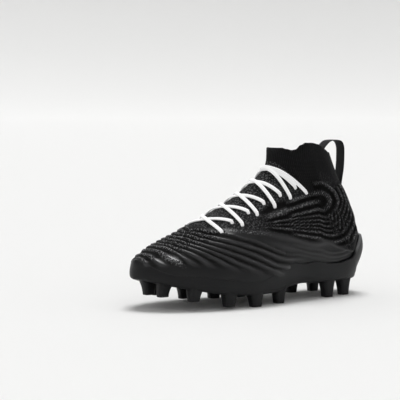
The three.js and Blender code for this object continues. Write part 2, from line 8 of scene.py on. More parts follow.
import bmesh
import bpy
import numpy as np
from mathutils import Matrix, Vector


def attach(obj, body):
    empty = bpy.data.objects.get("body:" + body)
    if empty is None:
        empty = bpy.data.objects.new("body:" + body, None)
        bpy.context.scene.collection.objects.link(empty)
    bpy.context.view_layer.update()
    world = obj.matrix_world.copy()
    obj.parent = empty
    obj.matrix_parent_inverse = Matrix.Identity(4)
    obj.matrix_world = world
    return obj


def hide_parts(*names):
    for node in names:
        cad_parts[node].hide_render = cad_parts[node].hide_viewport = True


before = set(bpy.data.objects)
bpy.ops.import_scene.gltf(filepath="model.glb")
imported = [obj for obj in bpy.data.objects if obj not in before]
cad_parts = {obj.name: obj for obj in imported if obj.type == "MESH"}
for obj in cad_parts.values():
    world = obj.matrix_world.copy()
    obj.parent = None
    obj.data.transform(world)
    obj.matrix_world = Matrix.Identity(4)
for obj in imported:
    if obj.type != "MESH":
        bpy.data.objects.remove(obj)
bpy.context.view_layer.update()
MM = 0.001


# Camera, floor and light

CAMERA_TURN = math.radians(38)
CAMERA_HEIGHT = math.radians(4.85)
CAMERA_DISTANCE = 1.5
CAMERA_TARGET = Vector((0, 0, 0.075))
FOCAL_PIXELS = 1400.56
TARGET_PIXEL = (251.65, 230.10)
FRAME_PIXELS = 400


def make_camera():
    """The camera stands where the photograph was taken, and looks at the middle of its frame."""
    back = Vector((
        math.sin(CAMERA_TURN) * math.cos(CAMERA_HEIGHT),
        math.cos(CAMERA_TURN) * math.cos(CAMERA_HEIGHT),
        math.sin(CAMERA_HEIGHT),
    ))
    right = Vector((-math.cos(CAMERA_TURN), math.sin(CAMERA_TURN), 0))
    up = back.cross(right)
    middle = FRAME_PIXELS / 2
    aim = -back
    aim += right * (middle - TARGET_PIXEL[0]) / FOCAL_PIXELS
    aim += up * (TARGET_PIXEL[1] - middle) / FOCAL_PIXELS
    data = bpy.data.cameras.new("camera")
    data.sensor_width = 36
    data.lens = 36 * FOCAL_PIXELS / FRAME_PIXELS
    data.clip_end = 200
    camera = bpy.data.objects.new("camera", data)
    camera.location = CAMERA_TARGET + back * CAMERA_DISTANCE
    camera.rotation_euler = aim.to_track_quat("-Z", "Y").to_euler()
    bpy.context.scene.collection.objects.link(camera)
    bpy.context.scene.camera = camera


def sun_light(name, come_from, softness, strength):
    """A wide soft source far away, so that the floor and the backdrop are lit alike."""
    data = bpy.data.lights.new(name, "SUN")
    data.energy = strength
    data.angle = math.radians(softness)
    light = bpy.data.objects.new(name, data)
    light.rotation_euler = (-Vector(come_from)).to_track_quat("-Z", "Y").to_euler()
    bpy.context.scene.collection.objects.link(light)


def make_lights():
    sun_light("high_softbox", (-0.15, -0.12, 0.97), 28, 2.1)
    sun_light("heel_softbox", (-0.6, 0.6, 0.55), 40, 0.45)
    sun_light("front_fill", (0.6, 0.75, 0.45), 80, 0.8)
    world = bpy.data.worlds.new("studio")
    world.use_nodes = True
    background = world.node_tree.nodes["Background"]
    background.inputs["Color"].default_value = (1, 1, 1, 1)
    background.inputs["Strength"].default_value = 0.33
    bpy.context.scene.world = world
    bpy.context.scene.view_settings.view_transform = "Standard"


FLOOR_RADIUS = 80.0
BACKDROP_CURVE = 40.0


def make_floor():
    """A wide pale sheet: flat under the shoe, and turned up all round far behind it."""
    bpy.ops.object.select_all(action="DESELECT")
    bpy.ops.mesh.primitive_cylinder_add(
        vertices=96, radius=FLOOR_RADIUS, depth=2 * BACKDROP_CURVE, location=(0, 0, BACKDROP_CURVE)
    )
    floor = bpy.context.object
    floor.name = "studio_floor"
    bpy.ops.object.transform_apply(location=True, rotation=False, scale=False)
    bpy.ops.object.mode_set(mode="EDIT")
    choose(floor, "faces", lambda face: face.normal.z > 0.9)
    bpy.ops.mesh.delete(type="FACE")
    bpy.ops.mesh.select_all(action="SELECT")
    bpy.ops.mesh.flip_normals()
    choose(floor, "edges", lambda edge: max(v.co.z for v in edge.verts) < 0.01)
    bpy.ops.mesh.bevel(offset=BACKDROP_CURVE * 0.9, segments=24, affect="EDGES")
    bpy.ops.object.mode_set(mode="OBJECT")
    bpy.ops.object.shade_smooth()
    paint = Paint("studio_paper", base=(0.8, 0.8, 0.795), roughness=0.9, Specular_IOR_Level=0.1)
    grain = paint.noise(paint.place(), 0.004)
    paint.put("Base Color", paint.blend(grain, (0.795, 0.795, 0.79), (0.805, 0.805, 0.8)))
    floor.data.materials.append(paint.material)


def choose(piece, kind, wanted):
    """Selects the faces or the edges that a test names, in edit mode."""
    shape = bmesh.from_edit_mesh(piece.data)
    bpy.ops.mesh.select_all(action="DESELECT")
    bpy.context.tool_settings.mesh_select_mode = (False, kind == "edges", kind == "faces")
    for item in getattr(shape, kind):
        item.select_set(wanted(item))
    bmesh.update_edit_mesh(piece.data)


# Materials


class Wire:
    """A value in a material. Python's operators on it add Math nodes."""

    def __init__(self, paint, socket):
        self.paint = paint
        self.socket = socket

    def _with(self, operation, first, second):
        return self.paint.node("ShaderNodeMath", {"operation": operation}, {0: first, 1: second})

    def __add__(self, other):
        return self._with("ADD", self, other)

    def __radd__(self, other):
        return self._with("ADD", other, self)

    def __sub__(self, other):
        return self._with("SUBTRACT", self, other)

    def __rsub__(self, other):
        return self._with("SUBTRACT", other, self)

    def __mul__(self, other):
        return self._with("MULTIPLY", self, other)

    def __rmul__(self, other):
        return self._with("MULTIPLY", other, self)

    def __truediv__(self, other):
        return self._with("DIVIDE", self, other)

    def wave(self, pitch, shift=0.0):
        """A wave from 0 to 1 with a pitch in the value's own unit."""
        turn = self * (2 * math.pi / pitch) + shift
        return 0.5 + 0.5 * self.paint.node("ShaderNodeMath", {"operation": "SINE"}, {0: turn})

    def clamped(self):
        return self.paint.node("ShaderNodeClamp", {}, {"Value": self, "Min": 0.0, "Max": 1.0})

    def between(self, low, high):
        """0 below low, 1 above high, and a soft step between them."""
        settings = {"interpolation_type": "SMOOTHSTEP"}
        return self.paint.node(
            "ShaderNodeMapRange", settings, {"Value": self, "From Min": low, "From Max": high}
        )


class Paint:
    """A procedural material."""

    def __init__(self, name, base, roughness, **fixed):
        self.material = bpy.data.materials.new(name)
        self.material.use_nodes = True
        self.tree = self.material.node_tree
        self.shader = self.tree.nodes["Principled BSDF"]
        self.put("Base Color", (*base, 1))
        self.put("Roughness", roughness)
        for socket, value in fixed.items():
            self.put(socket.replace("_", " "), value)

    def put(self, socket, value):
        self._fill(self.shader.inputs[socket], value)

    def _fill(self, socket, value):
        if isinstance(value, Wire):
            self.tree.links.new(value.socket, socket)
        else:
            socket.default_value = value

    def node(self, kind, settings, inputs, output=0):
        node = self.tree.nodes.new(kind)
        for key, value in settings.items():
            setattr(node, key, value)
        for key, value in inputs.items():
            self._fill(node.inputs[key], value)
        return Wire(self, node.outputs[output])

    def attribute(self, name):
        return self.node("ShaderNodeAttribute", {"attribute_name": name}, {}, "Fac")

    def place(self):
        return self.node("ShaderNodeTexCoord", {}, {}, "Object")

    def uv(self):
        return self.node("ShaderNodeTexCoord", {}, {}, "UV")

    def parts(self, vector):
        """The X and Y of a vector."""
        node = self.tree.nodes.new("ShaderNodeSeparateXYZ")
        self._fill(node.inputs[0], vector)
        return Wire(self, node.outputs[0]), Wire(self, node.outputs[1])

    def noise(self, vector, size, detail=2.0):
        """Soft noise from 0 to 1 with grains of a size in metres (or in the vector's unit)."""
        return self.node(
            "ShaderNodeTexNoise", {}, {"Vector": vector, "Scale": 1 / size, "Detail": detail}
        )

    def cells(self, vector, size):
        """Distance to the middle of the nearest of cells of a size, from 0 to about 1."""
        return self.node("ShaderNodeTexVoronoi", {}, {"Vector": vector, "Scale": 1 / size}, "Distance")

    def blend(self, share, first, second):
        """Mixes two colours."""
        node = self.tree.nodes.new("ShaderNodeMix")
        node.data_type = "RGBA"
        self._fill(node.inputs[0], share)
        for socket, colour in ((node.inputs[6], first), (node.inputs[7], second)):
            self._fill(socket, colour if isinstance(colour, Wire) else (*colour, 1))
        return Wire(self, node.outputs[2])

    def bump(self, height, depth, strength=1.0):
        """Lays a height from 0 to 1 on the surface as relief of a depth in metres."""
        self.put("Normal", self.node(
            "ShaderNodeBump", {}, {"Height": height, "Distance": depth, "Strength": strength}, "Normal"
        ))


def upper_paint():
    """Matt black knit under laces and round the collar, and a satin moulded skin lower down, with
    painted highlights and glints on the ridge crests and painted shade in the grooves and eyelets.
    """
    paint = Paint(
        "upper_knit_and_skin", (0.008, 0.008, 0.008), 0.6, Specular_IOR_Level=0.16, Coat_Roughness=0.22
    )
    place = paint.place()
    across, along = paint.parts(paint.uv())
    skin, crest, sparkle, throat = map(paint.attribute, ("skin", "crest", "sparkle", "throat"))
    rib, slot, loops = map(paint.attribute, ("rib", "slot", "loops"))
    glint, groove = map(paint.attribute, ("glint", "groove"))

    grain = paint.noise(place, 0.0016, 3.0)
    fleck = grain.between(0.5, 0.62)
    drift = paint.noise(place, 0.012)
    ribs = across.wave(2.3)
    courses = along.wave(1.6)
    stitches = ribs * rib + (courses * 0.4 + fleck * 0.6) * (1 - rib)

    plain = paint.blend(courses * 0.5 + fleck * 0.5, (0.0045, 0.0045, 0.005), (0.011, 0.011, 0.0115))
    knit = paint.blend((fleck * throat).clamped(), plain, (0.1, 0.1, 0.103))
    # Painted highlight: the quarter loops' crests are lightened.
    knit = paint.blend((crest * crest * loops).clamped(), knit, (0.042, 0.042, 0.0435))
    # White flecks on the crests: partly the knit's own pale threads, partly painted glints where light
    # catches the crests.
    knit = paint.blend((fleck * sparkle * crest * 1.3).clamped(), knit, (0.3, 0.3, 0.305))
    # Painted shade: the collar rib's troughs are darkened.
    knit = paint.blend(rib * (1 - ribs), knit, (0.002, 0.002, 0.0022))
    moulded = paint.blend(drift, (0.0042, 0.0044, 0.0048), (0.0068, 0.007, 0.0076))
    colour = paint.blend(skin, knit, moulded)
    # Painted highlight: the moulded skin's ridge crests are lightened.
    colour = paint.blend((crest * 0.4 * skin).clamped(), colour, (0.034, 0.0345, 0.037))
    # Painted shade: the grooves between the ridges are darkened almost to black.
    colour = paint.blend((groove * 1.5).clamped(), colour, (0.0008, 0.0008, 0.0008))
    # Painted glints: white specks on the toe band and along the moulded skin's top edge.
    colour = paint.blend((glint * fleck * 0.75).clamped(), colour, (0.3, 0.3, 0.305))
    # Painted shade: the eyelet holes are painted near black.
    paint.put("Base Color", paint.blend(slot, colour, (0.001, 0.001, 0.001)))
    paint.put("Roughness", (0.85 - 0.47 * skin + 0.08 * drift + 0.25 * groove).clamped())
    paint.put("Coat Weight", (skin * (0.14 + 0.5 * crest) * (1 - groove)).clamped())
    paint.bump(stitches * (1 - skin) + grain * 0.1 * skin, 0.0005, 0.8)
    return paint.material


def lining_paint():
    paint = Paint("lining_mesh", (0.01, 0.01, 0.011), 0.9, Specular_IOR_Level=0.2)
    holes = paint.cells(paint.place(), 0.0022)
    thread = paint.blend(holes.between(0.1, 0.6), (0.004, 0.004, 0.004), (0.018, 0.018, 0.019))
    paint.put("Base Color", thread)
    paint.bump(holes, 0.0004)
    return paint.material


def plate_paint():
    """Satin black moulded plastic, its tone drifting a little, with a painted highlight along the heel
    counter's edge.
    """
    paint = Paint("moulded_plate", (0.008, 0.008, 0.008), 0.42, Specular_IOR_Level=0.2)
    place = paint.place()
    cloud = paint.noise(place, 0.02)
    grain = paint.noise(place, 0.0007, 2.0)
    body = paint.blend(cloud, (0.0035, 0.0037, 0.0042), (0.006, 0.0062, 0.0068))
    # Painted highlight: a light grey line along the heel counter's top edge.
    paint.put("Base Color", paint.blend(paint.attribute("counter_edge"), body, (0.16, 0.16, 0.165)))
    paint.put("Roughness", 0.36 + 0.1 * cloud + 0.08 * grain)
    paint.bump(grain, 0.00012, 0.6)
    return paint.material


def lace_paint():
    """White flat-woven lace, with the weave's fine chevrons and a faint painted glow of its own."""
    # The emission is a painted glow: the lace gives off a little light, though it is no lamp.
    paint = Paint(
        "white_lace", (0.92, 0.92, 0.92), 0.8, Specular_IOR_Level=0.3, Emission_Strength=0.12
    )
    across, along = paint.parts(paint.uv())
    bend = across.wave(1.9) * 2.4 - 1.2
    threads = along.wave(1.3, bend)
    fuzz = paint.noise(paint.place(), 0.0008)
    shade = threads * 0.5 + fuzz * 0.5
    paint.put("Base Color", paint.blend(shade, (0.84, 0.84, 0.85), (0.97, 0.97, 0.965)))
    paint.bump(threads, 0.0003, 0.7)
    return paint.material


def webbing_paint():
    """Charcoal woven tape."""
    paint = Paint("loop_webbing", (0.012, 0.012, 0.013), 0.75, Specular_IOR_Level=0.3)
    across, along = paint.parts(paint.uv())
    weave = along.wave(1.1) * across.wave(1.6)
    paint.put("Base Color", paint.blend(weave, (0.005, 0.005, 0.0055), (0.022, 0.022, 0.023)))
    paint.bump(weave, 0.0003, 0.8)
    return paint.material


def insole_paint():
    paint = Paint("insole_fabric", (0.03, 0.03, 0.032), 0.9, Sheen_Weight=0.1)
    weave = paint.cells(paint.place(), 0.0016)
    paint.put("Base Color", paint.blend(weave, (0.04, 0.04, 0.042), (0.015, 0.015, 0.016)))
    paint.bump(weave, 0.0003)
    return paint.material


# The last, as in the solids

UPPER_LENGTH = 287.0
BALL_WIDTH = 103.0
HEEL_WIDTH = 72.0
COLLAR_WIDTH = 61.0
TOE_HEIGHT = 46.0
INSTEP_HEIGHT = 124.0
COLLAR_HEIGHT = 140.0
TOE_SPRING = 19.0
HEEL_RISE = 5.0
ARCH_RISE = 2.0
TIP_HEIGHT = 14.0
RIM_WAVE = 6.3
UPPER_WALL = 2.4
STUD_HEIGHT = 13.0
STUD_LENGTH = 12.0
STUD_WIDTH = 10.0
PLATE_THICKNESS = 4.0
WING_WALL = 2.1
SOLE_TUCK = 4.0
BUMPER_HEIGHT = 14.0
WING_HEIGHT = 20.0
COUNTER_HEIGHT = 44.0
FIT_GAP = 0.3
FLEX = 0.09 * UPPER_LENGTH
TOE_CURL = 1.75
BASE = STUD_HEIGHT + PLATE_THICKNESS + FIT_GAP


def mix(a, b, t):
    return a + (b - a) * t


def smooth(t):
    s = np.clip(t, 0, 1)
    return s * s * (3 - 2 * s)


def footbed(x):
    """Height of the upper's lower edge above the ground."""
    toward = np.clip((x - FLEX) / (UPPER_LENGTH / 2 - FLEX), 0, 1.05)
    back = smooth((0.03 * UPPER_LENGTH - x) / (0.2 * UPPER_LENGTH))
    waist = smooth(1 - np.abs(x / UPPER_LENGTH + 0.11) / 0.13)
    return BASE + TOE_SPRING * toward**TOE_CURL + HEEL_RISE * back + ARCH_RISE * waist


# One row for each section of the upper, from the toe box to the rim, as in the solids
SECTION_KEYS = "top rise tall low lift half mid ridge wide belly open crown edge".split()
SECTIONS = (
    (0.392, 1.0, TOE_HEIGHT, 0.392, 0, 0.365, -0.05, -0.08, BALL_WIDTH, 0.4, 0.93, 0.8, 1.15),
    (0.325, 1.15, TOE_HEIGHT, 0.325, 0, 0.437, -0.03, -0.085, BALL_WIDTH, 0.38, 0.93, 0.84, 1.12),
    (0.255, 1.33, TOE_HEIGHT, 0.255, 0, 0.482, -0.01, -0.085, BALL_WIDTH, 0.34, 0.92, 0.9, 0.93),
    (0.185, 0.585, INSTEP_HEIGHT, 0.185, 0, 0.498, 0.005, -0.08, BALL_WIDTH, 0.3, 0.91, 0.96, 0.68),
    (0.115, 0.67, INSTEP_HEIGHT, 0.11, 0, 0.49, 0.018, -0.07, BALL_WIDTH, 0.28, 0.9, 1.02, 0.55),
    (0.052, 0.755, INSTEP_HEIGHT, 0.03, 0, 0.458, 0.033, -0.055, BALL_WIDTH, 0.27, 0.87, 1.04, 0.48),
    (-0.004, 0.845, INSTEP_HEIGHT, -0.055, 0, 0.418, 0.034, -0.04, BALL_WIDTH, 0.27, 0.84, 1.0, 0.41),
    (-0.046, 0.92, INSTEP_HEIGHT, -0.15, 0, 0.388, 0.026, -0.03, BALL_WIDTH, 0.27, 0.83, 0.94, 0.345),
    (-0.071, 0.975, INSTEP_HEIGHT, -0.25, 0, 0.372, 0.015, -0.02, BALL_WIDTH, 0.27, 0.83, 0.88, 0.305),
    (-0.079, 1.01, INSTEP_HEIGHT, -0.345, 0, 0.5, 0.01, -0.01, HEEL_WIDTH, 0.27, 0.84, 0.84, 0.295),
    (-0.084, 1.035, INSTEP_HEIGHT, -0.41, 0, 0.49, 0.005, 0, HEEL_WIDTH, 0.26, 0.74, 0.82, 0.31),
    (-0.087, 1.055, INSTEP_HEIGHT, -0.452, 0, 0.485, 0, 0, HEEL_WIDTH, 0.245, 0.5, 0.8, 0.37),
    (-0.088, 1.07, INSTEP_HEIGHT, -0.476, 0.04, 0.48, 0, 0, HEEL_WIDTH, 0.235, 0, 0.8, 0.43),
    (-0.089, 1.085, INSTEP_HEIGHT, -0.5, 0.17, 0.475, 0, 0, HEEL_WIDTH, 0.24, 0, 0.8, 0.43),
    (-0.09, 1.1, INSTEP_HEIGHT, -0.474, 0.34, 0.46, 0, 0, HEEL_WIDTH, 0.27, 0, 0.8, 0.3),
    (-0.091, 0.993, COLLAR_HEIGHT, -0.443, 0.52, 0.435, 0, 0, HEEL_WIDTH, 0.33, 0, 0.8, 0.05),
    (-0.093, 1.01, COLLAR_HEIGHT, -0.409, 0.68, 0.5, 0, 0, COLLAR_WIDTH, 0.38, 0, 0.8, -0.1),
    (-0.096, 1.03, COLLAR_HEIGHT, -0.374, 0.835, 0.5, 0, 0, COLLAR_WIDTH, 0.42, 0, 0.8, -0.1),
    (-0.1, 1.045, COLLAR_HEIGHT, -0.347, 0.965, 0.5, 0, 0, COLLAR_WIDTH, 0.45, 0, 0.8, -0.1),
)
CLOSED_ROW = 12
RIM_ROW = len(SECTIONS) - 1


def sizes_in_millimetres():
    table = {key: np.array([row[i] for row in SECTIONS], float) for i, key in enumerate(SECTION_KEYS)}
    return {
        "top_x": table["top"] * UPPER_LENGTH,
        "top_z": BASE + table["rise"] * table["tall"],
        "low_x": table["low"] * UPPER_LENGTH,
        "lift": table["lift"] * COLLAR_HEIGHT,
        **{key: table[key] * table["wide"] for key in ("half", "mid", "ridge")},
        **{key: table[key] for key in ("belly", "open", "crown", "edge")},
    }


ROWS = sizes_in_millimetres()


def curve(a, b, c, d, t):
    """A smooth curve through four values, between the middle two."""
    return b + 0.5 * t * (c - a + t * (2 * a - 5 * b + 4 * c - d + t * (3 * (b - c) + d - a)))


def section_at(row):
    """The sections' values at row numbers, which may lie between two rows or, below 0, at the toe."""
    row = np.asarray(row, float)
    r = np.clip(row, 0, RIM_ROW)
    i = np.minimum(np.floor(r).astype(int), RIM_ROW - 1)
    t = r - i
    made = {}
    for key, values in ROWS.items():
        made[key] = curve(*(values[np.clip(i + k, 0, RIM_ROW)] for k in (-1, 0, 1, 2)), t)
    made["open"] = np.where(row >= CLOSED_ROW, 0, np.clip(made["open"], 0, 1))
    made["low_z"] = footbed(made["low_x"]) + np.maximum(0, made["lift"])
    round_the_toe(made, row)
    return made


def round_the_toe(made, row):
    turn = np.clip(-row, 0, 1) * math.pi / 2
    ahead = row < 0
    first_x = ROWS["top_x"][0]
    forward = (UPPER_LENGTH / 2 - first_x) * np.sin(turn)
    narrow = np.cos(turn)

    def carried(key):
        slope = (ROWS[key][1] - ROWS[key][0]) / (ROWS["top_x"][1] - first_x)
        return ROWS[key][0] + forward * slope

    tip = footbed(UPPER_LENGTH / 2) + TIP_HEIGHT
    toe = {
        "top_x": first_x + forward,
        "low_x": first_x + forward,
        "low_z": footbed(first_x + forward),
        "half": carried("half") * narrow,
        "mid": carried("mid"),
        "ridge": mix(carried("mid"), carried("ridge"), narrow),
        "top_z": mix(tip, carried("top_z"), narrow),
    }
    for key, values in toe.items():
        made[key] = np.where(ahead, values, made[key])


# The rim's rise on the lateral side: how far round, and a share of the named wave
RIM_LINE = (
    (0, -0.2), (0.3, -0.2), (0.4, 0.2), (0.5, 0.87), (0.56, 1), (0.63, 0.9),
    (0.68, 0.45), (0.74, -0.4), (0.78, -0.55), (0.84, -0.4), (0.9, -0.2), (1, -0.2),
)


def rim_wave(row, around, side):
    near = smooth((row - RIM_ROW + 4) / 4)
    places = np.array([place[0] for place in RIM_LINE], float)
    lifts = np.array([place[1] for place in RIM_LINE], float)
    a = np.clip(around, 0, 1)
    i = np.clip(np.searchsorted(places, a) - 1, 0, len(places) - 2)
    t = smooth((a - places[i]) / (places[i + 1] - places[i]))
    lift = mix(lifts[i], lifts[i + 1], t)
    return near * RIM_WAVE * np.where(side > 0, lift, lifts[0])


def alike(*values):
    return np.broadcast_arrays(*(np.asarray(value, float) for value in values))


def skin(row, around, side):
    """Points of the upper's outer surface, from 0 at a section's lower end to 1 at its upper end."""
    row, around, side = alike(row, around, side)
    s = section_at(row)
    start = np.arcsin(s["open"])
    angle = mix(start, math.pi, np.clip(around, 0, 1))
    lower = angle < math.pi / 2
    drop = np.maximum(np.cos(start), 0.05)
    along = np.where(
        lower,
        s["belly"] * (1 - np.cos(angle) / drop),
        s["belly"] - (1 - s["belly"]) * np.cos(angle),
    )
    sine = np.maximum(np.sin(angle), 0)
    width = s["half"] * np.where(lower, sine, sine ** s["crown"])
    up = np.clip(along, 0, 1)
    return np.stack([
        mix(s["low_x"], s["top_x"], up),
        mix(s["mid"], s["ridge"], smooth(up)) + side * width,
        mix(s["low_z"], s["top_z"], up) + rim_wave(row, around, side),
    ], axis=-1)


def unit(vectors):
    return vectors / np.maximum(np.linalg.norm(vectors, axis=-1, keepdims=True), 1e-9)


def side_outward(row, around, side):
    step = 0.02
    r = np.clip(row, -1 + step, RIM_ROW - step)
    a = np.clip(around, step, 1 - step)
    along_row = skin(r + step, a, side) - skin(r - step, a, side)
    along_ring = skin(r, a + step, side) - skin(r, a - step, side)
    return unit(np.cross(along_row, along_ring) * np.asarray(side)[..., None])


def outward(row, around, side):
    row, around, side = alike(row, around, side)
    direction = side_outward(row, around, side)
    middle = (row <= -1) | (around >= 1) | ((around <= 0) & (row >= CLOSED_ROW))
    both = (direction + side_outward(row, around, -side)) * np.array([1, 0, 1])
    return np.where(middle[..., None], unit(both), direction)


# Meshes

BODY = "root"


def make_piece(name, verts, faces, materials, uv=None, face_slots=None, values=None):
    """A shown piece from points in millimetres. uv holds a pair for each point, in millimetres."""
    mesh = bpy.data.meshes.new(name)
    mesh.from_pydata((np.asarray(verts) * MM).tolist(), [], faces)
    for material in materials:
        mesh.materials.append(material)
    corners = np.zeros(len(mesh.loops), int)
    mesh.loops.foreach_get("vertex_index", corners)
    if uv is not None:
        layer = mesh.uv_layers.new(name="length")
        layer.data.foreach_set("uv", np.asarray(uv, float)[corners].ravel())
    if face_slots is not None:
        mesh.polygons.foreach_set("material_index", face_slots)
    for key, numbers in (values or {}).items():
        attribute = mesh.attributes.new(key, "FLOAT", "POINT")
        attribute.data.foreach_set("value", np.asarray(numbers, float))
    mesh.polygons.foreach_set("use_smooth", [True] * len(mesh.polygons))
    shape = bmesh.new()
    shape.from_mesh(mesh)
    bmesh.ops.remove_doubles(shape, verts=shape.verts, dist=2e-6)
    shape.to_mesh(mesh)
    shape.free()
    piece = bpy.data.objects.new(name, mesh)
    bpy.context.scene.collection.objects.link(piece)
    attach(piece, BODY)
    return piece


def sheet_faces(rows, columns, start=0, flip=False):
    """Quads over a sheet of points, numbered from start."""
    faces = []
    for i in range(rows - 1):
        for j in range(columns - 1):
            a = start + i * columns + j
            quad = (a, a + columns, a + columns + 1, a + 1)
            faces.append(quad[::-1] if flip else quad)
    return faces


def ring_places(columns):
    """Places round a section: up the lateral side and down the medial side."""
    k = np.arange(-columns, columns + 1)
    return 1 - np.abs(k) / columns, np.where(k <= 0, 1.0, -1.0)


def even_rows(first, last, count):
    """Row numbers about evenly far apart on the surface, at the place where they spread most."""
    tries = np.linspace(first, last, 600)
    places = skin(tries[:, None], np.linspace(0, 1, 9)[None, :], 1.0)
    steps = np.linalg.norm(np.diff(places, axis=0), axis=-1)
    length = np.concatenate([[0], np.cumsum(np.quantile(steps, 0.8, axis=1) + 0.02)])
    return np.interp(np.linspace(0, length[-1], count), length, tries)


# Where the laces run

LACE_WIDTH = 4.3
LACE_THICKNESS = 1.8
LACE_GAP = 0.6
LACE_SINK = 3.0
# How far a strand's middle lies towards the toe, in rows
LACE_SAG = 0.35
TOP_LACE_SAG = 2.1
MEDIAL_TURN = 0.85
EYELETS = (
    (2.75, 0.33, 3.55, 0.28),
    (3.95, 0.36, 4.65, 0.28),
    (5.05, 0.34, 5.75, 0.29),
    (6.3, 0.37, 7.1, 0.32),
    (7.8, 0.38, 9.4, 0.33),
)
LAST_EYELET = (10.8, 0.34)


def lace_place(row, turn, side):
    """The ridge leans to the medial side, where the eyelets lie nearer to it."""
    return row, turn if side > 0 else -MEDIAL_TURN * turn


def eyelet_places():
    """Every place where the lace goes through the upper, as a row and a signed turn."""
    places = [lace_place(*LAST_EYELET, side) for side in (1, -1)]
    for low_row, low_turn, high_row, high_turn in EYELETS:
        for side in (1, -1):
            places.append(lace_place(low_row, low_turn, side))
            places.append(lace_place(high_row, high_turn, side))
    return places


# Relief of the upper, in millimetres

RIDGE_HEIGHT = 2.5
QUARTER_HEIGHT = 2.3
LIP_HEIGHT = 1.1
EYELET_DEPTH = 1.6
EYELET_REACH = 3.2

# Forefoot ridges, from the toe to the throat: the row that each one reaches at each turn down from
# the ridge line, first on the lateral side and then on the medial side
RIDGE_TURNS = (0, 0.25, 0.4, 0.5, 0.6, 0.7, 0.8, 1)
LATERAL_RIDGES = (
    (-1.0, -1.0, -1.0, -1.0, -1.0, -1.0, -1.0, -1.0),
    (-0.62, -0.66, -0.66, -0.66, -0.64, -0.62, -0.6, -0.5),
    (-0.4, -0.42, -0.42, -0.4, -0.36, -0.28, -0.2, 0.0),
    (-0.18, -0.19, -0.17, -0.14, -0.08, 0.02, 0.12, 0.4),
    (-0.05, -0.02, 0.08, 0.2, 0.42, 0.66, 0.86, 1.2),
    (0.24, 0.3, 0.53, 0.74, 0.97, 1.25, 1.6, 2.2),
    (0.55, 0.64, 0.88, 1.18, 1.58, 2.12, 2.9, 4.0),
    (0.8, 0.86, 1.2, 1.56, 2.08, 2.72, 3.9, 5.3),
    (1.08, 1.2, 1.56, 2.0, 2.6, 3.6, 5.0, 6.5),
    (1.38, 1.55, 1.98, 2.52, 3.3, 4.35, 5.8, 7.5),
    (1.65, 1.92, 2.42, 3.0, 3.9, 5.4, 7.0, 9.0),
    (1.92, 2.35, 3.05, 3.7, 4.8, 6.0, 8.0, 10.0),
)
MEDIAL_RIDGES = (
    (-1.0, -1.0, -1.0, -1.0, -1.0, -1.0, -1.0, -1.0),
    (-0.62, -0.64, -0.62, -0.58, -0.52, -0.4, -0.2, 0.4),
    (-0.4, -0.4, -0.34, -0.26, -0.1, 0.2, 0.8, 1.8),
    (-0.18, -0.16, -0.06, 0.1, 0.4, 0.95, 1.9, 3.2),
    (-0.05, 0.04, 0.22, 0.5, 0.95, 1.75, 3.0, 4.6),
    (0.24, 0.34, 0.62, 1.0, 1.6, 2.6, 4.2, 6.0),
    (0.55, 0.68, 1.05, 1.55, 2.35, 3.6, 5.6, 7.6),
    (0.8, 0.98, 1.45, 2.1, 3.15, 4.8, 7.2, 9.4),
    (1.08, 1.32, 1.95, 2.8, 4.2, 6.4, 9.0, 11.0),
    (1.38, 1.7, 2.55, 3.7, 5.6, 8.2, 10.6, 12.0),
    (1.65, 2.1, 3.3, 4.9, 7.4, 10.2, 12.0, 13.0),
    (1.92, 2.6, 4.4, 6.8, 9.6, 12.0, 13.0, 14.0),
)

# The quarter's ridges are nested loops round one middle, and meet at a tip over the arch. Ahead of the
# middle, each line's height at places along the shoe; behind it, its distance at angles from upright.
QUARTER_MIDDLE = (-66, 105)
QUARTER_AHEAD = (-66, -50, -30, -10, 10, 30)
QUARTER_AXIS = (105, 102.8, 98.5, 93.5, 88.5, 87)
QUARTER_BELOW = (
    (96.5, 93.8, 91.2, 88.5, 86.2, 85.9),
    (89.6, 89, 88.3, 86, 84.6, 85),
    (85.2, 85.2, 85, 84.2, 83.9, 84.5),
    (80.8, 81.5, 82.4, 82.6, 83.1, 84),
    (76.4, 77.8, 79.5, 80.9, 82.2, 83.4),
    (72.2, 74.1, 76.3, 78.9, 81.2, 82.8),
    (65, 67.9, 71.8, 75.8, 79.3, 82),
    (58.7, 61, 65.5, 70.5, 76, 80.5),
)
QUARTER_ABOVE = (
    (114, 111.5, 106.5, 101, 95, 89.3),
    (126, 124, 118, 111, 103, 93),
)
QUARTER_ANGLES = (90, 135, 180, 225, 270)
QUARTER_BEHIND = (
    (9, 12, 16, 13, 8.5),
    (21, 22, 28, 22, 15.4),
    (27, 28, 34, 28, 19.8),
    (32, 34, 39, 34.5, 24.2),
    (37, 39, 44, 41, 28.6),
    (42, 44, 49, 47, 32.8),
    (47, 49, 54, 57, 40),
    (52, 54, 60, 65, 46.3),
)


def ridge_index(rows, turns, table):
    """Which forefoot ridge lies at each row and turn, as a number that is whole on a crest."""
    table = np.array(table)
    lines = np.stack([np.interp(turns, RIDGE_TURNS, line) for line in table])
    count = len(table)
    places = [np.interp(rows, line, np.arange(count), right=count + 1) for line in lines.T]
    return np.stack(places, axis=1)


def count_lines(depth, lines):
    """How many lines lie above each depth, with the part of the way to the next one."""
    before = np.zeros(depth.shape)
    count = np.zeros(depth.shape)
    for line in lines:
        count += np.clip((depth - before) / np.maximum(line - before, 0.05), 0, 1)
        before = line
    return count + np.maximum(0, depth - before) / 5


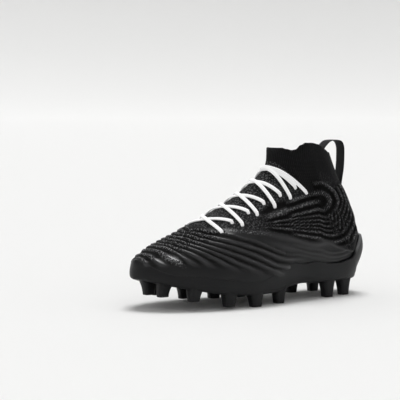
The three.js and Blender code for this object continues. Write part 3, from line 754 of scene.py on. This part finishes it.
def quarter_lines(points):
    """Which of the quarter's ridges lies at each point, whole on a crest, and how far apart they are."""
    x, z = points[..., 0], points[..., 2]
    axis = np.interp(x, QUARTER_AHEAD, QUARTER_AXIS)
    below = [axis - np.interp(x, QUARTER_AHEAD, line) for line in QUARTER_BELOW]
    above = [np.interp(x, QUARTER_AHEAD, line) - axis for line in QUARTER_ABOVE]
    from_middle = (x - QUARTER_MIDDLE[0], z - QUARTER_MIDDLE[1])
    angle = np.degrees(np.arctan2(from_middle[1], from_middle[0])) % 360
    behind = [np.interp(angle, QUARTER_ANGLES, line) for line in QUARTER_BEHIND]
    index = np.where(
        x < QUARTER_MIDDLE[0],
        count_lines(np.hypot(*from_middle), behind),
        np.where(z < axis, count_lines(axis - z, below), count_lines(z - axis, above)),
    )
    spread = np.where(x < QUARTER_MIDDLE[0], behind[-1], below[-1]) / len(QUARTER_BELOW)
    upper = (z > axis) & (angle < 150)
    last = np.where(upper, np.where(angle > 75, 2.0, 1.0), len(QUARTER_BELOW))
    return index, spread, last


def flush_with_wall(points, row, around, side):
    """Swells the skin over the plate's wall at the forefoot, so that one flows into the other."""
    x, z = points[..., 0], points[..., 2]
    over = np.maximum(0, z - wall_top(x, side))
    waist = smooth((x + 25) / 20) * smooth((75 - x) / 30)
    share = waist + 0.6 * smooth((x - 60) / 20) * (1 - waist)
    return share * (wall_distance(row, around) - 0.1) * np.exp(-((over / 9) ** 2))


def band(value, width):
    """1 at zero, falling off softly on both sides."""
    return np.exp(-((value / width) ** 2))


def crest_wave(index):
    """1 on whole numbers, and 0 halfway between them."""
    return 0.5 + 0.5 * np.cos(2 * math.pi * index)


def forefoot_ridges(rows, turns, row, turn, lateral):
    """Which forefoot ridge lies at each place, its wave, and how fully it stands out there."""
    index = np.where(
        lateral,
        ridge_index(rows, turns, LATERAL_RIDGES),
        ridge_index(rows, turns, MEDIAL_RIDGES),
    )
    last = len(LATERAL_RIDGES) - 1
    present = smooth((index - 0.6) / 0.5) * smooth((last + 0.5 - index) / 0.4)
    low_end = np.where(lateral, 0.74 + 0.03 * row, 0.86)
    back_end = np.where(lateral, 7.5, 10.5)
    fade = smooth((low_end - turn) / 0.14) * smooth((back_end - row) / 2.5)
    return index, crest_wave(index), present * fade


def quarter_ridges(points, row, turn, moulded):
    """The quarter's wave, its height, how fully it stands out, and the soft folds under it."""
    x = points[..., 0]
    index, spread, last = quarter_lines(points)
    # Towards the tip over the arch, each two ridges merge into one
    apart = smooth((spread - 3.3) / 0.9)
    wave = mix(crest_wave(index / 2), crest_wave(index), apart)
    height = np.minimum(QUARTER_HEIGHT, 0.4 * spread * (2 - apart))
    upper_end = mix(0.31, 0.16, smooth((row - 9.5) / 2.5))
    ridges = (1 - moulded) * smooth((last + 0.5 - index) / 0.5) * smooth((spread - 1.2) / 1.2)
    ridges = ridges * smooth((30 - x) / 14) * smooth((turn - upper_end) / 0.06)
    ridges = ridges * smooth(RIM_ROW - 1.5 - row)
    folds = moulded * smooth((index - last - 0.4) / 0.6) * smooth((last + 3.4 - index) / 0.8)
    folds = folds * smooth((x + 118) / 20) * smooth((25 - x) / 35) * smooth((turn - 0.4) / 0.1)
    return wave, height, ridges, folds


def eyelet_holes(points):
    """1 in the middle of each eyelet, and 0 away from them."""
    holes = np.zeros(points.shape[:2])
    for row, turn in eyelet_places():
        middle = skin(row, 1 - abs(turn), math.copysign(1, turn))
        distance = np.linalg.norm(points - middle, axis=-1)
        holes = np.maximum(holes, smooth(1.3 - distance / EYELET_REACH))
    return holes


def relief(rows, arounds, sides, points):
    """Heights in millimetres over the skin, and the masks that the upper's paint reads."""
    turns = 1 - arounds
    lateral = np.broadcast_to(sides > 0, points.shape[:2])
    row = np.broadcast_to(rows[:, None], points.shape[:2])
    turn = np.broadcast_to(turns[None, :], points.shape[:2])
    above_edge = 1 - turn - section_at(row)["edge"]
    moulded = 1 - smooth(above_edge / 0.04)

    index, wave, ridges = forefoot_ridges(rows, turns, row, turn, lateral)
    contour, deep, quarter, folds = quarter_ridges(points, row, turn, moulded)
    lip = band(above_edge, 0.012) * smooth((row - 3.5) / 1.5) * smooth((13.5 - row) / 1.5)
    holes = eyelet_holes(points)
    low_toe = mix(0.5, 1, smooth((row + 0.5) / 1.1))
    height = RIDGE_HEIGHT * low_toe * wave**1.3 * ridges + contour * (deep * quarter + folds)
    height = height + LIP_HEIGHT * lip - EYELET_DEPTH * holes
    height = height + flush_with_wall(points, row, 1 - turn, sides[None, :])

    throat = smooth((0.36 - turn) / 0.08) * smooth((row - 2.1) / 0.5) * smooth((11.5 - row) / 0.8)
    rib = smooth((0.42 - turn) / 0.06) * smooth(row - 10.5)
    bare_knit = (1 - moulded) * (1 - rib) * (1 - quarter)
    bare_knit = bare_knit * smooth((row - 2.6) / 0.6) * smooth((16 - row) / 1.5)
    # Crest mask: where the paint lays painted highlights on the ridge crests.
    crest = np.clip(wave * ridges + contour * (quarter + 0.5 * folds), 0, 1)
    # Pale flecks on the crests: partly the knit's own threads, partly painted glints.
    sparkle = np.clip(smooth((0.62 - turn) / 0.3) * ridges + 0.4 * quarter, 0, 1)
    sparkle = np.where(lateral, sparkle, np.clip(sparkle + 0.6 * ridges, 0, 1))
    # Painted glints: a band along the third toe ridge, and the moulded skin's top edge.
    toe_glint = band(index - 3, 0.3) * smooth((0.8 - turn) / 0.25) * smooth((turn - 0.2) / 0.2)
    film_edge_glint = band(above_edge, 0.013) * smooth((row - 2.3) / 0.6) * smooth((5.6 - row) / 1.6)
    masks = {
        "skin": moulded * (1 - smooth((0.46 - turn) / 0.2) * ridges * 0.8),
        # The lip along the moulded skin's top edge is raised, and it also gets a painted highlight.
        "crest": np.clip(crest + 0.7 * lip, 0, 1),
        "sparkle": sparkle,
        "throat": np.clip(throat + 0.55 * bare_knit, 0, 1),
        "rib": rib,
        "loops": quarter,
        "glint": np.clip(np.where(lateral, toe_glint, 0) + 0.7 * film_edge_glint, 0, 1),
        # Painted shade in the eyelet holes.
        "slot": holes,
        # Painted shade in the grooves between the ridges.
        "groove": np.clip((1 - wave) ** 1.5 * ridges + (1 - contour) ** 1.5 * quarter, 0, 1),
    }
    return height, masks


def run_length(points):
    """The distance from the first point to each one, along the points."""
    steps = np.linalg.norm(np.diff(points, axis=0), axis=-1)
    return np.concatenate([np.zeros_like(steps[:1]), np.cumsum(steps, axis=0)])


def make_upper():
    """The outer surface with its relief, the rounded rim and the inner surface."""
    columns = 112
    arounds, sides = ring_places(columns)
    rows = even_rows(-1, RIM_ROW, 330)
    points = skin(rows[:, None], arounds[None, :], sides[None, :])
    normals = outward(rows[:, None], arounds[None, :], sides[None, :])
    height, masks = relief(rows, arounds, sides, points)
    outer = points + normals * height[..., None]
    across = run_length(points.swapaxes(0, 1)).T
    across -= across[:, columns:columns + 1]
    along = np.broadcast_to(run_length(points[:, columns // 2])[:, None], across.shape)

    lip = []
    upward = unit(skin(RIM_ROW, arounds, sides) - skin(RIM_ROW - 0.1, arounds, sides))
    for angle in (36, 72, 108, 144):
        turn = math.radians(angle)
        inward = -UPPER_WALL / 2 * (1 - math.cos(turn))
        rise = UPPER_WALL / 2 * math.sin(turn)
        lip.append(points[-1] + normals[-1] * inward + upward * rise)
    lip = np.array(lip)

    inner_rows = even_rows(-1, RIM_ROW, 90)[::-1]
    thin = np.arange(0, 2 * columns + 1, 4)
    inner = skin(inner_rows[:, None], arounds[None, :], sides[None, :])
    inner = inner - UPPER_WALL * outward(inner_rows[:, None], arounds[None, :], sides[None, :])
    inner = inner[:, thin]

    width = len(arounds)
    body = np.concatenate([outer, lip])
    verts = np.concatenate([body.reshape(-1, 3), inner.reshape(-1, 3)])
    faces = sheet_faces(len(body), width)
    face_slots = [0] * len(faces)
    start = body.shape[0] * width
    faces += sheet_faces(len(inner_rows), len(thin), start)
    for j in range(len(thin) - 1):
        edge = [(len(body) - 1) * width + k for k in range(thin[j], thin[j + 1] + 1)]
        faces.append((*edge[::-1], start + j, start + j + 1))
    face_slots += [1] * (len(faces) - len(face_slots))

    def spread(values, lip_value):
        lips = np.broadcast_to(lip_value, lip.shape[:2]).ravel()
        return np.concatenate([values.ravel(), lips, np.zeros(inner.shape[0] * inner.shape[1])])

    uv = np.stack([spread(across, across[-1]), spread(along, along[-1, 0] + 1.5)], axis=-1)
    values = {key: spread(mask, mask[-1]) for key, mask in masks.items()}
    piece = make_piece(
        "upper_shell", verts, faces,
        [upper_paint(), lining_paint()], uv, face_slots, values,
    )
    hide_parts("upper")
    return piece


# The plate and its studs

# Where the plate's wall ends: share of the length, then on the lateral and on the medial side the
# share of a height above the footbed, and that height
WALL_TOP = (
    (0.56, 0.97, 1.04, BUMPER_HEIGHT),
    (0.487, 0.97, 1.12, BUMPER_HEIGHT),
    (0.465, 0.66, 1.2, BUMPER_HEIGHT),
    (0.44, 0.54, 1.12, BUMPER_HEIGHT),
    (0.4, 0.56, 0.9, BUMPER_HEIGHT),
    (0.35, 0.7, 0.74, BUMPER_HEIGHT),
    (0.29, 0.75, 0.68, BUMPER_HEIGHT),
    (0.21, 0.5, 0.46, WING_HEIGHT),
    (0.1, 0.5, 0.48, WING_HEIGHT),
    (0.05, 0.66, 0.64, WING_HEIGHT),
    (0.0, 0.94, 0.9, WING_HEIGHT),
    (-0.05, 1.08, 1.15, WING_HEIGHT),
    (-0.14, 0.82, 1.05, WING_HEIGHT),
    (-0.2, 0.93, 0.95, WING_HEIGHT),
    (-0.27, 0.78, 0.8, WING_HEIGHT),
    (-0.36, 0.84, 0.84, WING_HEIGHT),
    (-0.4, 0.5, 0.5, COUNTER_HEIGHT),
    (-0.42, 0.73, 0.73, COUNTER_HEIGHT),
    (-0.438, 0.96, 0.96, COUNTER_HEIGHT),
    (-0.47, 1.0, 1.0, COUNTER_HEIGHT),
    (-0.56, 1.0, 1.0, COUNTER_HEIGHT),
)


def smooth_line(xs, table_x, table_y):
    """A smooth curve through a table, read at xs."""
    order = np.argsort(table_x)
    x, y = table_x[order], table_y[order]
    i = np.clip(np.searchsorted(x, xs) - 1, 0, len(x) - 2)
    slopes = np.gradient(y, x)
    width = x[i + 1] - x[i]
    t = np.clip((xs - x[i]) / width, 0, 1)
    a = (2 * t**3 - 3 * t**2 + 1) * y[i] + (-2 * t**3 + 3 * t**2) * y[i + 1]
    return a + (t**3 - 2 * t**2 + t) * width * slopes[i] + (t**3 - t**2) * width * slopes[i + 1]


def wall_top(x, side):
    """Height above the ground where the plate's wall ends."""
    at, lateral, medial, height = np.array(WALL_TOP).T
    lines = [smooth_line(x, at * UPPER_LENGTH, share * height) for share in (lateral, medial)]
    return footbed(x) + np.where(side > 0, *lines)


def wall_distance(row, around):
    """How far the wall's outer surface lies off the upper, as in the solids."""
    thin = 0.55 * smooth(around / 0.3) * smooth((9 - row) / 2)
    return FIT_GAP + WING_WALL * (1 - thin)


def wall_end(rows, side):
    """How far round from its lower end the wall reaches at each row."""
    low = np.zeros(len(rows))
    high = np.full(len(rows), 0.8)
    for _ in range(30):
        middle = (low + high) / 2
        distance = wall_distance(rows, middle)[:, None]
        points = skin(rows, middle, side) + outward(rows, middle, side) * distance
        below = points[:, 2] < wall_top(points[:, 0], side)
        low = np.where(below, middle, low)
        high = np.where(below, high, middle)
    return low


def last_wall_row():
    """The row whose lower end, at the middle of the heel, lies at the wall's top."""
    low, high = CLOSED_ROW, RIM_ROW
    for _ in range(40):
        middle = (low + high) / 2
        back = skin(middle, 0, 1) + outward(middle, 0, 1) * wall_distance(middle, 0)
        if back[2] < wall_top(back[0], 1):
            low = middle
        else:
            high = middle
    return low


def make_plate():
    """The floor with a rounded lower edge, and the wall that it carries round the upper."""
    rows = even_rows(-1, last_wall_row(), 260)
    paint = plate_paint()
    up_steps = 22
    down_steps = 5
    lines = []
    edges = []
    for side in (1, -1):
        end = wall_end(rows, side)
        shares = np.linspace(0, 1, up_steps)
        around = end[:, None] * shares[None, :]
        r = np.broadcast_to(rows[:, None], around.shape)
        normal = outward(r, around, side)
        base = skin(r, around, side)
        outer = base + normal * wall_distance(r, around)[..., None]
        inner = base + normal * FIT_GAP
        s = section_at(rows)
        open_share = np.clip(s["open"] / 0.5, 0, 1)
        low = outer[:, 0]
        flat = unit(normal[:, 0] * np.array([1, 1, 0]))
        corner = []
        depth = (FIT_GAP + PLATE_THICKNESS) * open_share
        for k in range(1, down_steps + 1):
            angle = math.pi / 2 * k / down_steps
            drop = depth * math.sin(angle)
            pull = np.minimum(SOLE_TUCK, 0.3 * s["half"] * s["open"]) * (1 - math.cos(angle))
            corner.append(low - flat * pull[:, None] - np.array([0, 0, 1]) * drop[:, None])
        corner = np.array(corner[::-1]).transpose(1, 0, 2)
        bed_edge = inner[:, 0] - np.array([0, 0, 1]) * (FIT_GAP * open_share)[:, None]
        keel, bed = corner[:, 0].copy(), bed_edge.copy()
        keel[:, 1] = bed[:, 1] = s["mid"]
        line = np.concatenate([
            keel[:, None], mix(keel, corner[:, 0], 0.5)[:, None], corner, outer,
            inner[:, ::-1], bed_edge[:, None], mix(bed, bed_edge, 0.5)[:, None], bed[:, None],
        ], axis=1)
        lines.append(line)
        # Where the heel counter's top edge carries its painted highlight.
        at_heel = smooth((-0.405 * UPPER_LENGTH - outer[:, -1, 0]) / 4)
        edge = np.zeros(line.shape[:2])
        edge_start = 2 + down_steps + up_steps
        edge[:, edge_start - 2:edge_start + 1] = at_heel[:, None] * np.array([0.5, 1, 0.7])
        edges.append(edge)
    verts = np.concatenate([line.reshape(-1, 3) for line in lines])
    count = lines[0].shape[1]
    faces = sheet_faces(len(rows), count)
    faces += sheet_faces(len(rows), count, len(rows) * count, flip=True)
    values = {"counter_edge": np.concatenate([edge.ravel() for edge in edges])}
    plate = make_piece("plate_shell", verts, faces, [paint], values=values)
    studs = make_studs(paint)
    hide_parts("outsole_plate")
    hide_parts("outsole_plate")


# Studs: share of the length, share of the ball's width, foot height as a share of the spring, size,
# and how far the head lies ahead of the foot as a share of the length
STUDS = (
    (0.434, -0.117, 0.74, 0.95, 0.004),
    (0.43, 0.115, 0.74, 0.95, -0.02),
    (0.348, 0.32, 0.52, 0.98, -0.022),
    (0.345, -0.345, 0.5, 0.98, 0),
    (0.215, 0.405, 0.14, 1.0, -0.004),
    (0.209, -0.39, 0.11, 1.0, 0),
    (0.1, 0.422, 0, 1.02, 0),
    (0.08, -0.362, 0, 1.02, 0),
    (-0.028, 0.355, 0, 0.92, 0),
    (-0.028, -0.298, 0, 0.92, 0),
    (-0.289, 0.27, 0, 1.0, 0),
    (-0.265, -0.25, 0, 1.0, 0),
    (-0.387, 0.218, 0, 0.95, 0.006),
    (-0.365, -0.215, 0, 0.95, 0.004),
)
STUD_LEAN = 0.35
STUD_FLARE = ((0.42, 0.62), (0.3, 0.4))


def wall_reach(x, side):
    """The plate's outer half width at a place along the shoe."""
    rows = np.linspace(0, CLOSED_ROW - 1, 200)
    row = np.interp(-x, -section_at(rows)["low_x"], rows)
    return side * (skin(row, 0, side) + outward(row, 0, side) * wall_distance(row, 0))[1]


def flare(shares, t):
    return shares[0] * t + shares[1] * t**3


def make_studs(paint):
    """Each stud starts as a thin block on its foot. It grows upwards, and flares into the plate."""
    studs = []
    for at, share, foot_share, size, lean in STUDS:
        x, out, side = at * UPPER_LENGTH, abs(share) * BALL_WIDTH, math.copysign(1, share)
        foot = foot_share * TOE_SPRING
        head = footbed(x) + PLATE_THICKNESS / 2
        foot_width = 0.5 * STUD_WIDTH * size
        gap = max(0, wall_reach(x, side) - out - foot_width - FIT_GAP)
        lean_out = min(gap, STUD_LEAN * STUD_WIDTH)

        def level(t):
            """A section's middle and its full length and width, in metres."""
            length = STUD_LENGTH * size * (1 + flare(STUD_FLARE[0], t))
            width = STUD_WIDTH * size * (1 + flare(STUD_FLARE[1], t))
            middle = Vector((
                x + lean * UPPER_LENGTH * t * t,
                side * (out + foot_width - width / 2 + lean_out * t * t),
                mix(foot, head, t),
            ))
            return middle * MM, length * MM, width * MM

        foot_height = foot * MM
        middle, length, width = level(0.02)
        bpy.ops.object.select_all(action="DESELECT")
        block_middle = (middle.x, middle.y, (foot_height + middle.z) / 2)
        bpy.ops.mesh.primitive_cube_add(size=1, location=block_middle)
        stud = bpy.context.object
        stud.scale = (length, width, middle.z - foot_height)
        bpy.ops.object.transform_apply(location=True, rotation=True, scale=True)
        bpy.ops.object.mode_set(mode="EDIT")
        choose(stud, "edges", lambda edge: abs(edge.verts[0].co.z - edge.verts[1].co.z) > 1e-5)
        bpy.ops.mesh.bevel(offset=0.36 * width, segments=7, affect="EDGES")
        choose(stud, "faces", lambda face: face.normal.z > 0.9)
        for t in np.linspace(0.1, 1, 13):
            next_middle, next_length, next_width = level(t)
            step = next_middle - middle
            bpy.ops.mesh.extrude_region_move(TRANSFORM_OT_translate={"value": tuple(step)})
            bpy.ops.transform.resize(
                value=(next_length / length, next_width / width, 1), center_override=tuple(next_middle)
            )
            middle, length, width = next_middle, next_length, next_width
        choose(stud, "edges", lambda edge: max(v.co.z for v in edge.verts) < foot_height + 1e-6)
        bpy.ops.mesh.bevel(offset=0.0005, segments=2, affect="EDGES")
        bpy.ops.object.mode_set(mode="OBJECT")
        studs.append(stud)
    bpy.ops.object.select_all(action="DESELECT")
    for stud in studs:
        stud.select_set(True)
    bpy.context.view_layer.objects.active = studs[0]
    bpy.ops.object.join()
    piece = bpy.context.object
    piece.name = "plate_studs"
    bpy.ops.object.transform_apply(location=True, rotation=True, scale=True)
    bpy.ops.object.shade_smooth_by_angle(angle=math.radians(35))
    piece.data.materials.append(paint)
    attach(piece, BODY)
    return piece


# Insole, laces and pull loop


def make_insole():
    """A board that fills the upper's lower edge, with a slight dish on top."""
    rows = even_rows(-1, CLOSED_ROW - 1.5, 120)
    inset = UPPER_WALL + 1
    ends = [skin(rows, 0, side) - inset * outward(rows, 0, side) for side in (1, -1)]
    shares = np.linspace(0, 1, 25)
    points = mix(ends[0][:, None], ends[1][:, None], shares[None, :, None])
    dish = 1.6 * (np.abs(2 * shares - 1) ** 3)[None, :]
    edge = 0.8 * smooth(1 - np.minimum(shares, 1 - shares) / 0.03)[None, :]
    points[..., 2] = footbed(points[..., 0]) + 3.5 + dish - edge
    under = points.copy()
    under[..., 2] = footbed(points[..., 0])
    verts = np.concatenate([points.reshape(-1, 3), under.reshape(-1, 3)])
    count = len(shares)
    offset = len(rows) * count
    faces = sheet_faces(len(rows), count) + sheet_faces(len(rows), count, offset, flip=True)
    for i in range(len(rows) - 1):
        a = i * count
        faces.append((a, a + offset, a + offset + count, a + count))
        b = a + count - 1
        faces.append((b, b + count, b + count + offset, b + offset))
    last = (len(rows) - 1) * count
    for j in range(count - 1):
        faces.append((last + j, last + j + 1, last + j + 1 + offset, last + j + offset)[::-1])
        faces.append((j, j + offset, j + 1 + offset, j + 1)[::-1])
    piece = make_piece("insole_board", verts, faces, [insole_paint()])
    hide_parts("insole")


def lace_ribbon(points, ups, width, thickness):
    """A flat lace along points: its verts, faces and UV."""
    points = np.asarray(points)
    ahead = unit(np.gradient(points, axis=0))
    across = unit(np.cross(ahead, ups))
    normal = np.cross(across, ahead)
    around = 16
    verts = []
    uv = []
    length = run_length(points)
    for i in range(len(points)):
        for k in range(around):
            angle = 2 * math.pi * k / around
            u = math.copysign(abs(math.cos(angle)) ** 0.7, math.cos(angle))
            v = math.copysign(abs(math.sin(angle)) ** 0.7, math.sin(angle))
            verts.append(points[i] + across[i] * u * width[i] / 2 + normal[i] * v * thickness / 2)
            uv.append((u * width[i] / 2, length[i]))
    faces = []
    for i in range(len(points) - 1):
        for k in range(around):
            after = (k + 1) % around
            a, b = i * around, (i + 1) * around
            faces.append((a + k, b + k, b + after, a + after))
    faces.append(tuple(range(around)))
    faces.append(tuple((len(points) - 1) * around + k for k in reversed(range(around))))
    return verts, faces, uv


def make_laces():
    """Crossings and a top bar, each with its ends sunk in its eyelets."""
    verts = []
    faces = []
    uv = []

    def add(start, end, over, sag):
        t = np.linspace(-0.06, 1.06, 34)
        inside = np.clip(t, 0, 1)
        row = mix(start[0], end[0], inside) - sag * np.sin(math.pi * inside)
        turn = mix(start[1], end[1], inside)
        past = np.maximum(-t, t - 1).clip(0) / 0.06
        turn = turn + np.sign(end[1] - start[1]) * (t - inside) * 0.35
        lift = LACE_GAP + LACE_THICKNESS * (0.5 + over * np.sin(math.pi * inside) ** 2)
        near_end = smooth(1 - np.minimum(inside, 1 - inside) / 0.05)
        lift = lift - LACE_SINK * smooth(past * 0.8 + near_end * 0.2)
        side = np.where(turn < 0, -1.0, 1.0)
        around = 1 - np.abs(turn)
        up = outward(row, around, side)
        points = skin(row, around, side) + up * lift[:, None]
        widths = LACE_WIDTH * (1 - 0.25 * smooth(past))
        run_verts, run_faces, run_uv = lace_ribbon(points, up, widths, LACE_THICKNESS)
        base = len(verts)
        verts.extend(run_verts)
        uv.extend(run_uv)
        faces.extend(tuple(base + k for k in face) for face in run_faces)

    for i, (low_row, low_turn, high_row, high_turn) in enumerate(EYELETS):
        for side in (1, -1):
            low = lace_place(low_row, low_turn, side)
            high = lace_place(high_row, high_turn, -side)
            add(low, high, 0.7 if side > 0 else 0.0, sag=LACE_SAG)
    add(lace_place(*LAST_EYELET, 1), lace_place(*LAST_EYELET, -1), 0.5, sag=TOP_LACE_SAG)
    piece = make_piece("lace_runs", verts, faces, [lace_paint()], uv)
    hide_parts("laces")


LOOP_WIDTH = 14.0
LOOP_THICKNESS = 1.2
LOOP_SEWN = (16, 15.45)
LOOP_RISE = 12.7
LOOP_REACH = 26.0


def through(points, count):
    """A smooth curve through points."""
    points = np.asarray(points, float)
    padded = np.concatenate([[2 * points[0] - points[1]], points, [2 * points[-1] - points[-2]]])
    t = np.linspace(0, len(points) - 1, count)
    i = np.minimum(t.astype(int), len(points) - 2)
    return curve(*(padded[i + k] for k in range(4)), (t - i)[:, None])


def make_loop():
    """The tape from inside the collar, over the back and down to where it is sewn on."""
    half = LOOP_THICKNESS / 2
    wall_radius = COLLAR_WIDTH / 2 - UPPER_WALL
    stand = wall_radius - math.sqrt(wall_radius**2 - (LOOP_WIDTH / 2) ** 2)
    rim = skin(RIM_ROW, 0, 1)

    def off(row, distance):
        return skin(row, 0, 1) + outward(row, 0, 1) * distance

    def at(back, up):
        return rim + np.array([-back * LOOP_REACH, 0, up * LOOP_RISE])

    inner = -UPPER_WALL - FIT_GAP - half - 2 * stand
    outer = 2 * FIT_GAP + half
    route = through([
        off(RIM_ROW - 0.7, inner), off(RIM_ROW - 0.1, inner), at(-0.13, 0.35), at(0.03, 0.72),
        at(0.24, 1.02), at(0.52, 1.1), at(0.84, 1), at(0.98, 0.55), at(1, -0.2), at(0.97, -1.35),
        mix(off(LOOP_SEWN[0], outer), at(0.92, -2.6), 0.6),
        off(mix(*LOOP_SEWN, 0.45), outer), off(LOOP_SEWN[1], outer),
    ], 90)
    ahead = unit(np.gradient(route, axis=0))
    ups = np.stack([-ahead[:, 2], np.zeros(len(route)), ahead[:, 0]], axis=-1)
    verts, faces, uv = lace_ribbon(route, ups, np.full(len(route), LOOP_WIDTH), LOOP_THICKNESS)
    piece = make_piece("pull_loop_tape", verts, faces, [webbing_paint()], uv)
    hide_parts("pull_loop")


make_camera()
make_lights()
make_floor()
make_upper()
make_plate()
make_insole()
make_laces()
make_loop()
